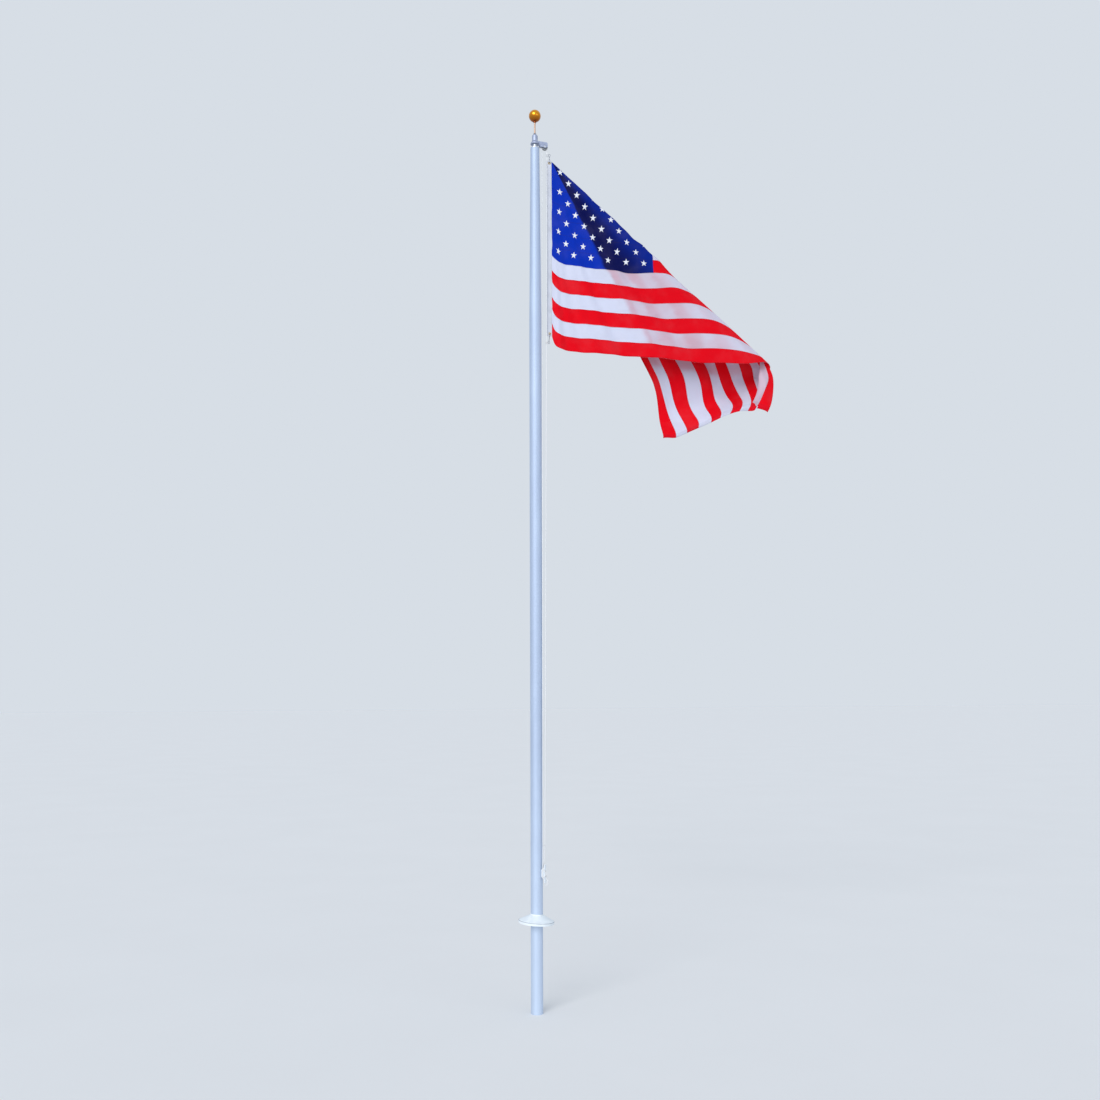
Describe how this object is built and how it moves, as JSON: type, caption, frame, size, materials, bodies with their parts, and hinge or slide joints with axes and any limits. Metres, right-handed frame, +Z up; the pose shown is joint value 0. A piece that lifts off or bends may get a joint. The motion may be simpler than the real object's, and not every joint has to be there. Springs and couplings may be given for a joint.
{
  "type": "flagpole",
  "caption": "Tapered aluminium flagpole with a revolving truck, ball finial, external halyard, cleat, flash collar and a folded striped flag",
  "frame": {"origin": "centre of the shaft's end face at ground level", "axes": "+Z up the pole, +X along the truck's arm and the flag, +Y away from the side that the picture shows"},
  "size_m": [2.4952, 0.4765, 7.6356],
  "materials": {
    "shaft": "satin, drawn",
    "truck_casting": "as cast, tumbled",
    "cleat_casting": "as cast, tumbled",
    "sheave": "moulded",
    "screws": "stainless, plain",
    "ball_gold": "gold anodised, gloss",
    "collar_spun": "spun, satin",
    "halyard_rope": "braided polyester",
    "header_canvas": "canvas duck",
    "grommet_brass": "plain",
    "snap_metal": "nickel plated",
    "flag_cloth": "dyed nylon, sheer"
  },
  "bodies": {
    "pole": {"pole_shaft": "shaft", "spindle_plug": "truck_casting", "cleat": "cleat_casting", "cleat_screw_upper": "screws", "cleat_screw_lower": "screws", "halyard_cleat_hitch": "halyard_rope", "halyard_hoist_lead": "halyard_rope", "halyard_return_lead": "halyard_rope", "halyard_tail": "halyard_rope"},
    "truck": {"truck_body": "truck_casting", "sheave_axle": "screws", "finial_rod": "screws", "finial_locknut": "screws", "finial_ball": "ball_gold", "halyard_over_sheave": "halyard_rope", "halyard_hoist_line": "halyard_rope", "halyard_return_line": "halyard_rope"},
    "sheave": {"sheave": "sheave"},
    "flag": {"flag_header": "header_canvas", "flag_field": "flag_cloth", "upper_grommet": "grommet_brass", "lower_grommet": "grommet_brass", "upper_hitch": "halyard_rope", "lower_hitch": "halyard_rope", "upper_swivel": "snap_metal", "lower_swivel": "snap_metal", "upper_snap_hook": "snap_metal", "lower_snap_hook": "snap_metal", "upper_snap_gate": "snap_metal", "lower_snap_gate": "snap_metal"},
    "flash_collar": {"flash_collar": "collar_spun"}
  },
  "joints": [
    {"name": "truck_revolve", "type": "hinge", "parent": "pole", "child": "truck", "pos_m": [0, 0, 7.3], "axis": [0, 0, 1], "continuous": true},
    {"name": "sheave_turn", "type": "hinge", "parent": "truck", "child": "sheave", "pos_m": [0.086, 0, 7.324], "axis": [0, 1, 0], "continuous": true},
    {"name": "flag_hoist", "type": "slide", "parent": "truck", "child": "flag", "axis": [0.0086, 0.008, 0.9999], "range_m": [-4.2, 0]},
    {"name": "collar_slide", "type": "slide", "parent": "pole", "child": "flash_collar", "axis": [0, 0, 1], "range_m": [-0.73, 0.2]}
  ]
}
